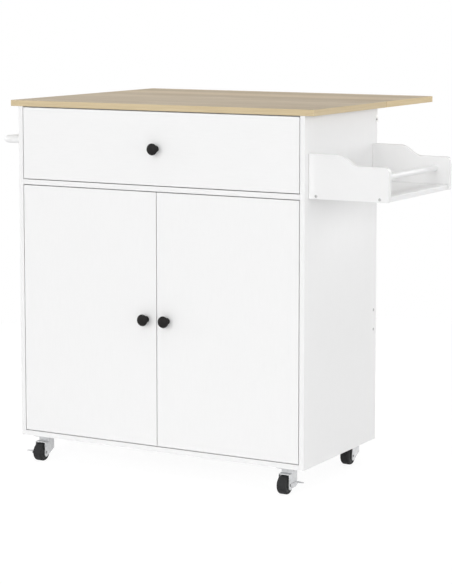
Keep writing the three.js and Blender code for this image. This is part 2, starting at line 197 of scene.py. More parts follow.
# %% Grain
grain, given, gives = effect(
    "grain",
    {"Vector": ("Vector", None), "Width": ("Float", 0.01), "Length": ("Float", 0.3)},
    ["Figure", "Streaks", "Pores"])
along_grain = sums(grain, "DIVIDE", 1.0, given["Length"])
across_grain = sums(grain, "DIVIDE", 1.0, given["Width"])
stretch = node(grain, "CombineXYZ", {"X": along_grain, "Y": across_grain, "Z": across_grain})
stretched = node(grain, "VectorMath", {0: given["Vector"], 1: stretch.outputs[0]},
                 operation="MULTIPLY").outputs[0]
GRAIN_NOISES = {
    "Figure": {"Scale": 0.35, "Detail": 3, "Roughness": 0.55, "Distortion": 0.6},
    "Streaks": {"Scale": 2.2, "Detail": 5, "Roughness": 0.6},
    "Pores": {"Scale": 7.0, "Detail": 2, "Roughness": 0.5},
}
for label, settings in GRAIN_NOISES.items():
    noise = node(grain, "TexNoise", {"Vector": stretched, **settings})
    grain.links.new(noise.outputs[0], gives[label])
print("grain group:", len(grain.nodes), "nodes")

# %% [markdown]
# ## Small unevenness
# No finish is perfectly even: paint has an orange-peel skin, plated steel is cloudy, and hands
# leave slightly glossier patches. One group gives a fine and a coarse noise for all of it, and
# each finish says how much of them it takes.

# %% Small unevenness
uneven, given, gives = effect(
    "unevenness", {"Vector": ("Vector", None), "Size": ("Float", 0.002)}, ["Fine", "Patches"])
fineness = sums(uneven, "DIVIDE", 1.0, given["Size"])
PATCHES_PER_METRE = 9.0
fine = node(uneven, "TexNoise", {"Vector": given["Vector"], "Scale": fineness, "Detail": 2})
patches = node(uneven, "TexNoise", {"Vector": given["Vector"], "Scale": PATCHES_PER_METRE, "Detail": 3})
uneven.links.new(fine.outputs[0], gives["Fine"])
uneven.links.new(patches.outputs[0], gives["Patches"])
print("unevenness group:", len(uneven.nodes), "nodes")

# %% [markdown]
# ## Worn edges
# Corners are touched and knocked first, so their colour shifts there. The Bevel node rounds the
# shading normal near an edge, and where it differs from the true normal an edge is close.
# Pointiness finds edges too, but only on a mesh with many points, and a board has few.

# %% Worn edges
FLAT_LIKENESS, EDGE_LIKENESS = 0.995, 0.8
worn, given, gives = effect("edge wear", {"Reach": ("Float", 0.0015)}, ["Edge"])
rounded = node(worn, "Bevel", {"Radius": given["Reach"]}, samples=4)
true_normal = node(worn, "NewGeometry").outputs["Normal"]
likeness = node(worn, "VectorMath", {0: rounded.outputs[0], 1: true_normal}, operation="DOT_PRODUCT")
edge_mask = ramp(worn, likeness.outputs["Value"], FLAT_LIKENESS, EDGE_LIKENESS)
worn.links.new(edge_mask, gives["Edge"])
print("edge wear group:", len(worn.nodes), "nodes")

# %% [markdown]
# ## Starting a finish
# Every finish starts from the Principled shader with its constant values on its own sockets.
# Object coordinates keep a pattern fixed to its piece, and a Mapping turns the grain. Every finish
# ends alike too: its colour, its roughness and a height for the bump are wired to the shader.

# %% Starting a finish
def finish(name, roughness, metallic=0.0, **sockets):
    """A new material: the material, its tree, its shader's inputs and its Object coordinates."""
    material = bpy.data.materials.new(name)
    material.use_nodes = True
    tree = material.node_tree
    shader = tree.nodes["Principled BSDF"].inputs
    shader["Roughness"].default_value = roughness
    shader["Metallic"].default_value = metallic
    for label, value in sockets.items():
        shader[label.replace("_", " ")].default_value = value
    return material, tree, shader, node(tree, "TexCoord").outputs["Object"]


GRAIN_TURN = {"x": (0, 0, 0), "z": (0, math.pi / 2, 0)}
NOISE_LOW, NOISE_HIGH = 0.3, 0.7


def turned_grain(tree, coordinates, along):
    """Coordinates whose X runs along the grain."""
    return node(tree, "Mapping", {"Vector": coordinates, "Rotation": GRAIN_TURN[along]}).outputs[0]


def around(tree, noise, value, swing):
    """A value that a noise moves up and down."""
    return ramp(tree, noise, NOISE_LOW, NOISE_HIGH, value - swing, value + swing)


def dress(tree, shader, colour, roughness, height, depth):
    """Wires a finish's colour, its roughness and its height, whose full depth is in metres."""
    bump = node(tree, "Bump", {"Height": height, "Distance": depth, "Strength": 1.0}).outputs[0]
    for label, source in (("Base Color", colour), ("Roughness", roughness), ("Normal", bump)):
        tree.links.new(source, shader[label])


# %% [markdown]
# ## White laminate
# The boards are covered in white melamine with a wood grain pressed into it. It is only a few
# hundredths of a millimetre deep and hardly shows in tone, so a bump is enough for it. It runs up
# the doors and sides and across the drawer, and there is one version for each direction.

# %% White laminate
WHITE = (0.880, 0.880, 0.880)
WHITE_SHADE = (0.862, 0.862, 0.862)
WHITE_EDGE = (0.900, 0.900, 0.900)
WHITE_SPECULAR = 0.35
WHITE_ROUGHNESS, WHITE_SWING = 0.495, 0.025
STREAK_TONE, STREAK_RELIEF = (0.42, 0.68), (0.4, 0.7, 1.0, 0.0)
PORE_DULLNESS, PORE_RELIEF = (0.5, 0.7, 0.0, 0.05), (0.5, 0.75, 0.5, 0.0)


def white_laminate(along):
    """White board with its pressed grain along one axis."""
    material, tree, shader, coordinates = finish("white_laminate_" + along, roughness=0.5,
                                                 Specular_IOR_Level=WHITE_SPECULAR)
    lines = place_group(tree, grain, Vector=turned_grain(tree, coordinates, along),
                        Width=3.5 * MM, Length=120 * MM)
    skin = place_group(tree, uneven, Vector=coordinates, Size=1.2 * MM)
    tone = mix(tree, ramp(tree, lines["Streaks"], *STREAK_TONE), WHITE, WHITE_SHADE)
    rub = place_group(tree, worn, Reach=1.2 * MM)["Edge"]
    dullness = sums(tree, "ADD", around(tree, skin["Patches"], WHITE_ROUGHNESS, WHITE_SWING),
                    ramp(tree, lines["Pores"], *PORE_DULLNESS))
    relief = sums(tree, "ADD", ramp(tree, lines["Streaks"], *STREAK_RELIEF),
                  ramp(tree, lines["Pores"], *PORE_RELIEF))
    dress(tree, shader, mix(tree, rub, tone, WHITE_EDGE), dullness, relief, depth=0.02 * MM)
    return material


white_up, white_across = (white_laminate(way) for way in "zx")
print("laminates:", white_up.name, white_across.name)

# %% [markdown]
# ## Plain foil
# Inside, the drawer box and the rails have a plain matt foil without grain. It is a touch warmer
# than the laminate, with the fine pitting of the chipboard below it showing through. There is
# only one such foil, so it is built at once and needs no function of its own.

# %% Plain foil
FOIL = (0.83, 0.82, 0.80)
FOIL_SHADE = (0.79, 0.78, 0.755)
FOIL_ROUGHNESS = 0.6
CLOUDS = (0.35, 0.7)
foil, tree, shader, coordinates = finish("plain_foil", FOIL_ROUGHNESS, Specular_IOR_Level=WHITE_SPECULAR)
pits = place_group(tree, uneven, Vector=coordinates, Size=2.2 * MM)
dress(tree, shader, mix(tree, ramp(tree, pits["Patches"], *CLOUDS), FOIL, FOIL_SHADE),
      around(tree, pits["Patches"], FOIL_ROUGHNESS, swing=0.06), pits["Fine"], depth=0.04 * MM)
print("foil:", foil.name)

# %% [markdown]
# ## Oak look laminate
# The worktop and the leaf carry a printed light oak. Broad figure gives slow bands, streaks give
# the finer lines and pores the short dark dashes, all running along the island's width. The faces
# are a darker and greyer print than the golden edge band, whose grain follows each edge. This is
# partly their own print and partly painted shade and sheen, for the weaker light from above.
# The two boards are cut from different sheets, so each is placed with its own tone and its own
# part of the pattern.

# %% Oak look laminate
# The face tones hold painted shade and sheen: they are darker and greyer than the band tones for the
# weaker light from above.
FACE_TONES_PAINTED_SHADE = ((0.605, 0.508, 0.381), (0.482, 0.400, 0.294), (0.254, 0.201, 0.136))
BAND_TONES = ((0.690, 0.573, 0.378), (0.628, 0.507, 0.316), (0.480, 0.378, 0.228))
LEAF_WARMTH, GREEN_SHARE = 0.1, 1 / 3
ACROSS = math.pi / 2
OAK_LIFT, OAK_WEAR, OAK_ROUGHNESS = 1.05, 0.5, 0.6
BAND_RANGE = (0.40, 0.60)
STREAK_RANGE = (0.44, 0.74, 0.0, 0.45)
PORE_RANGE, PORE_HEIGHT = (0.60, 0.74, 0.0, 0.35), (0.58, 0.74, 1.0, 0.0)


def oak_print(name, tones, sheet_shift, warmth=0.0, turn=0.0):
    """Printed oak; shift and turn place the sheet, and warmth takes out some blue and green."""
    light, mid, dark = ((red, green * (1 - GREEN_SHARE * warmth), blue * (1 - warmth))
                        for red, green, blue in tones)
    material, tree, shader, coordinates = finish(name, OAK_ROUGHNESS, Specular_IOR_Level=0.2)
    sheet = node(tree, "Mapping", {"Vector": coordinates, "Location": sheet_shift,
                                   "Rotation": (0, 0, turn)}).outputs[0]
    bands = place_group(tree, grain, Vector=sheet, Width=34 * MM, Length=620 * MM)["Figure"]
    wood = place_group(tree, grain, Vector=sheet, Width=5.5 * MM, Length=300 * MM)
    pores = place_group(tree, grain, Vector=sheet, Width=1.6 * MM, Length=46 * MM)["Pores"]
    skin = place_group(tree, uneven, Vector=coordinates, Size=1.2 * MM)
    broad = mix(tree, ramp(tree, bands, *BAND_RANGE), light, mid)
    lined = mix(tree, ramp(tree, wood["Streaks"], *STREAK_RANGE), broad, dark)
    pored = mix(tree, ramp(tree, pores, *PORE_RANGE), lined, dark)
    rub = sums(tree, "MULTIPLY", place_group(tree, worn, Reach=1.2 * MM)["Edge"], OAK_WEAR)
    rubbed = tuple(OAK_LIFT * part for part in light)
    dress(tree, shader, mix(tree, rub, pored, rubbed),
          around(tree, skin["Patches"], OAK_ROUGHNESS, swing=0.05),
          ramp(tree, pores, *PORE_HEIGHT), depth=0.04 * MM)
    return material


oak_top = [oak_print("oak_worktop_face_painted_shade", FACE_TONES_PAINTED_SHADE, (0, 0, 0)),
           oak_print("oak_worktop_band", BAND_TONES, (0.11, 0.05, 0.02)),
           oak_print("oak_worktop_end", BAND_TONES, (0.27, 0.13, 0.02), turn=ACROSS)]
oak_leaf = [oak_print("oak_leaf_face_painted_shade", FACE_TONES_PAINTED_SHADE, (0.31, 0.23, 0), LEAF_WARMTH / 2),
            oak_print("oak_leaf_band", BAND_TONES, (0.47, 0.19, 0.01), LEAF_WARMTH),
            oak_print("oak_leaf_end", BAND_TONES, (0.53, 0.29, 0.01), LEAF_WARMTH, ACROSS)]
print("oak:", *(made.name for made in oak_top + oak_leaf))

# %% [markdown]
# ## Paint and powder coat
# The spice rack is painted and the towel bar is powder coated. Both have an orange-peel skin,
# finer on the powder coat, and a little more gloss than laminate. They differ only in such
# values, so one function makes both.

# %% Paint and powder coat
def coated(name, peel, depth, roughness, strength=1.0):
    """White paint with an orange-peel skin of that size and depth; strength scales its white."""
    light, shade, edge = (tuple(strength * part for part in white)
                          for white in (WHITE, WHITE_SHADE, WHITE_EDGE))
    material, tree, shader, coordinates = finish(name, roughness, Specular_IOR_Level=WHITE_SPECULAR)
    skin = place_group(tree, uneven, Vector=coordinates, Size=peel)
    rub = place_group(tree, worn, Reach=1.5 * MM)["Edge"]
    tone = mix(tree, ramp(tree, skin["Patches"], *CLOUDS), light, shade)
    dress(tree, shader, mix(tree, rub, tone, edge),
          around(tree, skin["Patches"], roughness, swing=0.04), skin["Fine"], depth)
    return material


white_paint = coated("white_paint", peel=2.5 * MM, depth=0.02 * MM, roughness=0.45, strength=0.967)
powder_coat = coated("white_powder_coat", peel=1.4 * MM, depth=0.04 * MM, roughness=0.4)
print("coats:", white_paint.name, powder_coat.name)

# %% [markdown]
# ## Metals
# The casters are bright zinc on stamped steel, cloudy in patches. The hinges, runners and screws
# are nickel plated and finer. Worn corners shine a little more than the faces. The axles are
# blackened, as the heads of pressed rivets often are.

# %% Metals
BRIGHTER = 1.12


def plated(name, tone, dull, cloud, roughness):
    """Plated steel between two tones; cloud is the size of its patches."""
    material, tree, shader, coordinates = finish(name, roughness, metallic=1.0)
    skin = place_group(tree, uneven, Vector=coordinates, Size=cloud)
    brush = place_group(tree, grain, Vector=coordinates, Width=0.6 * MM, Length=20 * MM)
    rub = place_group(tree, worn, Reach=0.6 * MM)["Edge"]
    body = mix(tree, ramp(tree, skin["Fine"], *CLOUDS), tone, dull)
    bright = tuple(min(1.0, BRIGHTER * part) for part in tone)
    dress(tree, shader, mix(tree, rub, body, bright),
          around(tree, brush["Streaks"], roughness, swing=0.07), brush["Streaks"], depth=0.01 * MM)
    return material


zinc = plated("bright_zinc", (0.62, 0.625, 0.63), (0.54, 0.545, 0.555), cloud=6 * MM, roughness=0.5)
nickel = plated("nickel_plate", (0.66, 0.655, 0.64), (0.58, 0.575, 0.56), cloud=4 * MM, roughness=0.32)
screw_steel = plated("screw_steel", (0.56, 0.56, 0.56), (0.46, 0.46, 0.46), cloud=3 * MM, roughness=0.4)
dark_steel = plated("blackened_steel", (0.10, 0.10, 0.10), (0.06, 0.06, 0.06), cloud=3 * MM,
                    roughness=0.5)
print("metals:", zinc.name, nickel.name, screw_steel.name, dark_steel.name)

# %% [markdown]
# ## Rubber and plastic
# The tyres are black rubber with a fine moulded texture and a greyer tread, on black nylon hubs.
# The shelf pins are pale nylon, and the knobs are black, smooth and satin.

# %% Rubber and plastic
USED_RANGE = (0.4, 0.75, 0.0, 0.5)


def moulded(name, tone, used, texture, depth, roughness, gloss=0.5):
    """A moulded surface with a fine texture of that size and depth, and a tone where it is used."""
    material, tree, shader, coordinates = finish(name, roughness, Specular_IOR_Level=gloss)
    skin = place_group(tree, uneven, Vector=coordinates, Size=texture)
    rub = place_group(tree, worn, Reach=1.0 * MM)["Edge"]
    body = mix(tree, ramp(tree, skin["Patches"], *USED_RANGE), tone, used)
    dress(tree, shader, mix(tree, rub, body, used),
          around(tree, skin["Fine"], roughness, swing=0.05), skin["Fine"], depth)
    return material


rubber = moulded("tyre_rubber", (0.022, 0.022, 0.023), (0.032, 0.032, 0.032),
                 texture=1.2 * MM, depth=0.05 * MM, roughness=0.65, gloss=0.2)
black_nylon = moulded("black_nylon", (0.020, 0.020, 0.021), (0.030, 0.030, 0.030),
                      texture=2 * MM, depth=0.02 * MM, roughness=0.5, gloss=0.3)
pale_nylon = moulded("pale_nylon", (0.72, 0.72, 0.70), (0.62, 0.62, 0.60),
                     texture=2 * MM, depth=0.02 * MM, roughness=0.4)
black_satin = moulded("black_knob", (0.011, 0.010, 0.010), (0.018, 0.017, 0.016),
                      texture=1.5 * MM, depth=0.02 * MM, roughness=0.5, gloss=0.14)
print("moulded:", rubber.name, black_nylon.name, pale_nylon.name, black_satin.name)

# %% [markdown]
# ## Making shapes
# A part is a small mesh of its own: an eased block, a turned profile or a plate cut to an
# outline. Parts are made where they lie, then joined into one piece that rides on a body. A place
# is a matrix that says where a part's own axes go, so a flat part is drawn once and then laid.
# Flat faces keep flat shading beside rounded edges because their normals are weighted by area.

# %% Blocks, turnings and plates
def new_vertices(geometry):
    """The vertices among what an operator made."""
    return [item for item in geometry if isinstance(item, bmesh.types.BMVert)]


def soften(part, geometry, radius, segments=2, affect="EDGES"):
    """Rounds some edges or corners; the radius is in mm."""
    bmesh.ops.bevel(part, geom=geometry, offset=radius * MM, segments=segments, profile=0.5,
                    affect=affect, material=-1)


def eased_block(low, high, ease):
    """A box between two corners with softened edges."""
    part = bmesh.new()
    spread = Matrix.Translation((low + high) / 2) @ Matrix.Diagonal((*(high - low), 1))
    bmesh.ops.create_cube(part, size=1, matrix=spread)
    soften(part, part.edges[:], ease)
    return part


def facing(direction, point):
    """A place whose Z looks along a direction."""
    return Matrix.Translation(point) @ Vector(direction).to_track_quat("Z", "Y").to_matrix().to_4x4()


def laid(across, up, out, point=(0, 0, 0)):
    """A place at a point whose X, Y and Z run along three directions."""
    return Matrix.Translation(point) @ Matrix((across, up, out)).transposed().to_4x4()


def shifted(step):
    """A move by a step in mm."""
    return Matrix.Translation(step * MM)


def turned(profile, place, steps=32, closed=False):
    """A profile of (radius, height) in mm, spun about the place's Z."""
    part = bmesh.new()
    line = [part.verts.new((radius * MM, 0, height * MM)) for radius, height in profile]
    pairs = list(zip(line, line[1:])) + ([(line[-1], line[0])] if closed else [])
    made = [part.edges.new(pair) for pair in pairs]
    bmesh.ops.spin(part, geom=line + made, cent=(0, 0, 0), axis=Z, angle=2 * math.pi,
                   steps=steps, use_merge=True, use_duplicate=False)
    part.transform(place)
    return part


def plate(outline, thickness, place, rounding=0.0, ease=0.0):
    """An outline of (u, v) in mm raised along the place's Z by a thickness in mm."""
    part = bmesh.new()
    corners = [part.verts.new((u * MM, v * MM, 0)) for u, v in outline]
    part.faces.new(corners)
    if rounding:
        soften(part, corners, rounding, segments=4, affect="VERTICES")
    raised = bmesh.ops.extrude_face_region(part, geom=part.faces[:])
    bmesh.ops.translate(part, vec=Z * thickness * MM, verts=new_vertices(raised["geom"]))
    if ease:
        rims = [edge for edge in part.edges
                if abs(edge.verts[0].co.z - edge.verts[1].co.z) < TINY]
        soften(part, rims, ease)
    part.transform(place)
    return part


def rectangle(u0, v0, u1, v1):
    """The four corners of a rectangle in an outline."""
    return [(u0, v0), (u1, v0), (u1, v1), (u0, v1)]


def arc(across, up, radius, start, end, steps=6):
    """Points round a corner, angles in degrees."""
    turns = [math.radians(start + (end - start) * step / steps) for step in range(steps + 1)]
    return [(across + radius * math.cos(turn), up + radius * math.sin(turn)) for turn in turns]


def curved(*bends, steps=8):
    """Points along Bezier curves given as (start, lead, follow, end)."""
    points = []
    for bend in bends:
        made = interpolate_bezier(*(Vector((*point, 0)) for point in bend), steps)
        points += [(point.x, point.y) for point in made[(1 if points else 0):]]
    return points


# %% [markdown]
# ## Joining parts into a piece
# A piece can hold several parts in different finishes. Each part has its doubles merged and its
# faces turned outwards before it joins, because a spun or mirrored shape can be inside out.

# %% Joining parts into a piece
def look(faces, index):
    """Gives faces one of their piece's finishes, by number."""
    for face in faces:
        face.material_index = index


def piece(name, parts, looks, body, stands_for=(), smooth=40):
    """Joins parts into one mesh that rides on a body."""
    mesh = bpy.data.meshes.new(name)
    whole = bmesh.new()
    for part in parts:
        bmesh.ops.remove_doubles(part, verts=part.verts[:], dist=TINY)
        bmesh.ops.recalc_face_normals(part, faces=part.faces[:])
        part.to_mesh(mesh)
        part.free()
        whole.from_mesh(mesh)
    whole.to_mesh(mesh)
    whole.free()
    for finish_of_piece in looks:
        mesh.materials.append(finish_of_piece)
    mesh.shade_smooth()
    mesh.set_sharp_from_angle(angle=math.radians(smooth))
    made = bpy.data.objects.new(name, mesh)
    bpy.context.scene.collection.objects.link(made)
    evened = made.modifiers.new("even_shading", "WEIGHTED_NORMAL")
    evened.keep_sharp = True
    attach(made, body)
    if stands_for:
        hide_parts(*stands_for)
    print(f"{name}: {len(mesh.polygons)} faces on {body}")


# %% [markdown]
# ## Plain boards
# A laminated board is a sawn rectangle whose edge band is scraped to a small radius. Each one is
# made from the corners of the measured board, so it can't drift from its place. A Bevel modifier
# could round the edges, but holes are cut into some boards later, so the bevel is in the mesh.

# %% Plain boards
BOARD_EASE = 0.6
LYING, END_ON = 0.9, 0.7


def board(name):
    """An eased board in the place of a measured one."""
    return eased_block(*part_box(name), BOARD_EASE)


PLAIN_BOARDS = {
    "bottom_panel": ("cabinet", [white_across], "white_board"),
    "divider_panel": ("cabinet", [white_across], "white_board"),
    "cupboard_shelf": ("cabinet", [white_across], "white_board"),
    "back_panel": ("cabinet", [white_up], "white_board"),
    "front_top_rail": ("cabinet", [foil], "inner_board"),
    "rear_top_rail": ("cabinet", [foil], "inner_board"),
    "rear_mid_rail": ("cabinet", [foil], "inner_board"),
    "drawer_side_left": ("drawer", [foil], "inner_board"),
    "drawer_side_right": ("drawer", [foil], "inner_board"),
    "drawer_back": ("drawer", [foil], "inner_board"),
    "drawer_bottom": ("drawer", [foil], "inner_board"),
    "drawer_front": ("drawer", [white_across], "white_board"),
    "worktop": ("cabinet", oak_top, "oak_laminate"),
    "drop_leaf": ("leaf", oak_leaf, "oak_laminate"),
}
for name, (body, looks, slot) in PLAIN_BOARDS.items():
    made = board(name)
    # Lying faces keep the face print with its painted shade, upright faces take the band, and ends take
    # its turned copy.
    if len(looks) > 1:
        made.normal_update()
        look([face for face in made.faces if abs(face.normal.z) < LYING], 1)
        look([face for face in made.faces if abs(face.normal.x) > END_ON], 2)
    piece(name + "_board", [made], looks, body, [name])

# %% [markdown]
# ## Holes in boards
# Shelf pins and hinge cups need round holes. A hole is sunk by cutting a small square out of the
# flat face, giving its rim more points, pushing those onto a circle and lowering the middle.
# A Boolean would do it too, but leaves long thin triangles that shade badly.

# %% Holes in boards
SQUARE_TO_CIRCLE, RIM_STEP = 1.25, 0.1
SAME_WAY = 0.999


def sink(part, centre, normal, radius, depth, sides=32):
    """A round blind hole in a flat face; radius and depth in mm."""
    part.normal_update()
    across = Vector(normal).yzx
    half = SQUARE_TO_CIRCLE * radius * MM

    def face_there():
        for face in part.faces:
            level = abs((face.calc_center_median() - centre).dot(normal)) < TINY
            if level and face.normal.dot(normal) > SAME_WAY:
                if bmesh.geometry.intersect_face_point(face, centre):
                    return face
        raise ValueError("no flat face at that point")

    for direction in (across, across.cross(normal)):
        for sign in (-1, 1):
            face = face_there()
            bmesh.ops.bisect_plane(
                part, geom=[face, *face.edges, *face.verts], dist=TINY / 10,
                plane_co=centre + direction * half * sign, plane_no=direction)
            part.normal_update()
    square = face_there()
    bmesh.ops.bisect_edges(part, edges=square.edges[:], cuts=sides // 4 - 1)
    bmesh.ops.inset_individual(part, faces=[square], thickness=RIM_STEP * half)
    for vertex in square.verts:
        vertex.co = centre + (vertex.co - centre).normalized() * radius * MM
    bmesh.ops.inset_individual(part, faces=[square], thickness=TINY, depth=-depth * MM)


# %% [markdown]
# ## Side panels
# Each side carries two rows of shelf pin holes inside, 32 mm apart as usual. The shelf rests on
# four pins with a collar, a hair below its underside.

# %% Side panels and shelf pins
PIN_ROWS = (55.0, 330.0)
PIN_PITCH = 32.0
PIN_STEPS = range(-2, 3)
HOLE_RADIUS, HOLE_DEPTH = 2.6, 9.0
PIN_UP = measured("cupboard_shelf")[0].z - HOLE_RADIUS
PIN_PROFILE = [(0, -7), (2.4, -7), (2.4, 0), (4.2, 0.05), (4.2, 1.1), (3.9, 1.3), (2.5, 1.3),
               (2.5, 8.4), (2.0, 9.0), (0, 9.0)]
for hand, sign in HANDS.items():
    name = "side_panel_" + hand
    panel = board(name)
    for back in PIN_ROWS:
        for step in PIN_STEPS:
            sink(panel, at(sign * INSIDE, back, PIN_UP + step * PIN_PITCH), -sign * X,
                 HOLE_RADIUS, HOLE_DEPTH, sides=16)
    piece(name + "_board", [panel], [white_up], "cabinet", [name])
    pins = [turned(PIN_PROFILE, facing(-sign * X, at(sign * INSIDE, back, PIN_UP)), steps=16)
            for back in PIN_ROWS]
    piece("shelf_pins_" + hand, pins, [pale_nylon], "cabinet")

# %% [markdown]
# ## Knobs
# The knobs are turned: a flared foot, a narrow neck and a mushroom head with a soft rim. The
# profile is a few smooth curves, spun round the axis that points out of the front. A ball set
# on a cone would leave a crease at the neck, which one spun line doesn't have.

# %% Knobs
KNOB_PROFILE = [(0, 0)] + curved(
    ((8.0, 0.0), (7.9, 2.4), (6.2, 4.0), (5.7, 7.5)),
    ((5.7, 7.5), (5.4, 11.0), (8.0, 13.6), (12.2, 15.4)),
    ((12.2, 15.4), (14.0, 16.2), (14.5, 17.6), (14.45, 19.2)),
    ((14.45, 19.2), (14.2, 22.4), (8.5, 24.9), (0.0, 25.0)))
KNOBS = {"drawer_knob": "drawer", "door_knob_left": "door_left", "door_knob_right": "door_right"}
for name, body in KNOBS.items():
    foot = at(middle(name).x, measured(name)[1].y, middle(name).z)
    piece(name + "_turned", [turned(KNOB_PROFILE, facing(-Y, foot), steps=48)], [black_satin], body,
          [name], smooth=60)

# %% [markdown]
# ## Screws
# A pan head screw is a low dome with a cross driven into it. A bump could draw the cross, but it
# would look flat from close by. So it is twelve points, bridged to the dome's open rim and pushed
# down. Each kind of screw has its own head, so their radii and heights in millimetres stand in
# one list, and the dome and the cross are shares of them.

# %% Screws
SCREW_HEADS = {
    "rail": (3.8, 0.8), "rack": (3.8, 0.7), "clip": (2.8, 0.7), "hinge cup": (3.4, 1.2),
    "hinge base": (3.6, 1.5), "hinge arm": (3.4, 0.8), "caster": (2.9, 1.3), "stay": (3.2, 0.5),
    "leaf hinge": (3.2, 0.45)}
HEAD_FOOT = -0.3
DOME = ((1.0, 0.15), (0.86, 0.7), (0.62, 1.0))
CROSS_ARM, CROSS_WAIST, CROSS_DEPTH = 0.5, 0.12, 0.55


def screw(place, kind):
    """A pan head with a cross recess, standing on the place."""
    radius, height = SCREW_HEADS[kind]
    dome = [(across * radius, up * height) for across, up in DOME]
    part = turned([(radius, HEAD_FOOT)] + dome, Matrix.Identity(4), steps=24)
    bmesh.ops.remove_doubles(part, verts=part.verts[:], dist=TINY)
    top = max(vertex.co.z for vertex in part.verts)
    rim = [edge for edge in part.edges if all(abs(v.co.z - top) < TINY for v in edge.verts)]
    arm, waist = CROSS_ARM * radius * MM, CROSS_WAIST * radius * MM
    quarter = [(arm, -waist), (arm, waist), (waist, waist)]
    spots = []
    for turn in range(4):
        c, s = round(math.cos(turn * math.pi / 2)), round(math.sin(turn * math.pi / 2))
        spots += [part.verts.new((c * u - s * v, s * u + c * v, top)) for u, v in quarter]
    cross = [part.edges.new((spots[i - 1], spots[i])) for i in range(len(spots))]
    bmesh.ops.bridge_loops(part, edges=rim + cross)
    sunk = bmesh.ops.extrude_edge_only(part, edges=cross)
    bmesh.ops.translate(part, vec=-Z * CROSS_DEPTH * height * MM, verts=new_vertices(sunk["geom"]))
    bmesh.ops.contextual_create(part, geom=new_vertices(sunk["geom"]))
    part.transform(place)
    return part


# %% [markdown]
# ## Fixings in the carcass
# Two screws go through each side into the middle rail. The thin back is nailed to the rails and
# panels behind it. A small bent clip holds the worktop at the rear edge of each side.

# %% Fixings in the carcass
MID_RAIL_SCREWS = (345.0, 394.0)
RAIL_MIDDLE = 380.6
CLIP_LOW, CLIP_HIGH, CLIP_FRONT, CLIP_REAR = 864.0, 877.0, 386.5, 397.2
CLIP_GAUGE, CLIP_REACH, CLIP_SUNK, CLIP_EASE = 0.9, 9.0, 0.1, 0.3
CLIP_FLAPS = ((CLIP_SUNK, CLIP_FRONT), (CLIP_REACH, DEPTH - CLIP_SUNK))
CLIP_SCREW_BACK, CLIP_SCREW_UP = 390.8, 870.5
for hand, sign in HANDS.items():
    heads = [screw(facing(sign * X, at(sign * OUTSIDE, RAIL_MIDDLE, up)), "rail")
             for up in MID_RAIL_SCREWS]
    piece("rail_screws_" + hand, heads, [screw_steel], "cabinet")
    clip_face = sign * (OUTSIDE + CLIP_GAUGE)
    clip = []
    for reach, front in CLIP_FLAPS:
        first, last = sorted((sign * (OUTSIDE - reach), clip_face))
        clip.append(eased_block(at(first, front, CLIP_LOW), at(last, CLIP_REAR, CLIP_HIGH), CLIP_EASE))
    clip.append(screw(facing(sign * X, at(clip_face, CLIP_SCREW_BACK, CLIP_SCREW_UP)), "clip"))
    look(clip[-1].faces, 1)
    piece("corner_clip_" + hand, clip, [nickel, dark_steel], "cabinet")

NAIL_PROFILE = [(0, 0.7), (1.6, 0.6), (2.3, 0.3), (2.4, 0.0), (2.2, -0.2), (0, -0.2)]
NAIL_PITCH = 95.0
NAIL_ROWS = (69.0, 370.0, 711.0, 858.0)
BACK_REAR = measured("back_panel")[1].y
nails = [turned(NAIL_PROFILE, facing(Y, at(step * NAIL_PITCH, BACK_REAR, up)), steps=16)
         for up in NAIL_ROWS for step in range(-4, 5)]
piece("back_nails", nails, [screw_steel], "cabinet")

# %% [markdown]
# ## Doors
# A door is a board with its grain upright and two 35 mm pockets bored into its back for the
# hinge cups. The pockets are sunk like the pin holes, only wider, so the cups really sit in the
# door and don't just touch it.

# %% Doors
DOOR_BACK = measured("door_left")[1].y
CUP_RADIUS, CUP_DEPTH = 17.5, 10.5
POCKET_ROOM = 0.3
LEVELS = ("lower", "upper")


def cup_centre(hand, level):
    """The middle of a hinge cup, on the back of its door."""
    cup = middle(f"hinge_cup_{hand}_{level}")
    return at(cup.x, DOOR_BACK, cup.z)


for hand in HANDS:
    name = "door_" + hand
    door = board(name)
    for level in LEVELS:
        sink(door, cup_centre(hand, level), Y, CUP_RADIUS + POCKET_ROOM, CUP_DEPTH + POCKET_ROOM)
    piece(name + "_board", [door], [white_up], name, [name])

# %% [markdown]
# ## Concealed hinges
# The cup is a pressed bowl with a flange and two screwed ears, and a pin crosses it. The arm is
# a bent channel on a base plate, and its tongue reaches over the cup. Both are drawn as plates
# from the side they were pressed in, so their corners can be rounded at once.

# %% Concealed hinges
CUP_PROFILE = [
    (0, -10.5), (16.9, -10.5), (17.5, -9.9), (17.5, 0.3), (19.0, 0.3), (19.3, 0.8), (19.0, 1.5),
    (16.4, 1.5), (16.0, 1.1), (15.6, -8.6), (15.0, -9.2), (0, -9.2)]
EAR_WIDE, EAR_NEAR, EAR_FAR, EAR_GAUGE, EAR_SCREW = 9.0, 15.5, 27.0, 1.2, 22.5
FLANGE, CUP_PIN_DEEP = 1.5, 4.0
CUP_PIN_PROFILE = [(0, -15.8), (1.6, -15.8), (1.6, 15.8), (0, 15.8)]
ARM_SIDE = [(20, 2), (20, 11.5), (22, 13), (68, 13), (76, 7), (76, 2)]
ARM_HEIGHT, ARM_BASE, HINGE_SEAT = 14.0, 2.0, 0.3
BASE_FRONT, BASE_REAR, BASE_HALF = 38.0, 74.0, 24.0
TONGUE_NEAR, TONGUE_FAR, TONGUE_FRONT, TONGUE_REAR, TONGUE_HALF = 12.5, 38.0, 17.5, 22.0, 6.0
BASE_SCREW_BACK, BASE_SCREW_RISE = 56.0, 17.0
ARM_SCREWS, ARM_OUT = (34.0, 58.0), 13.0


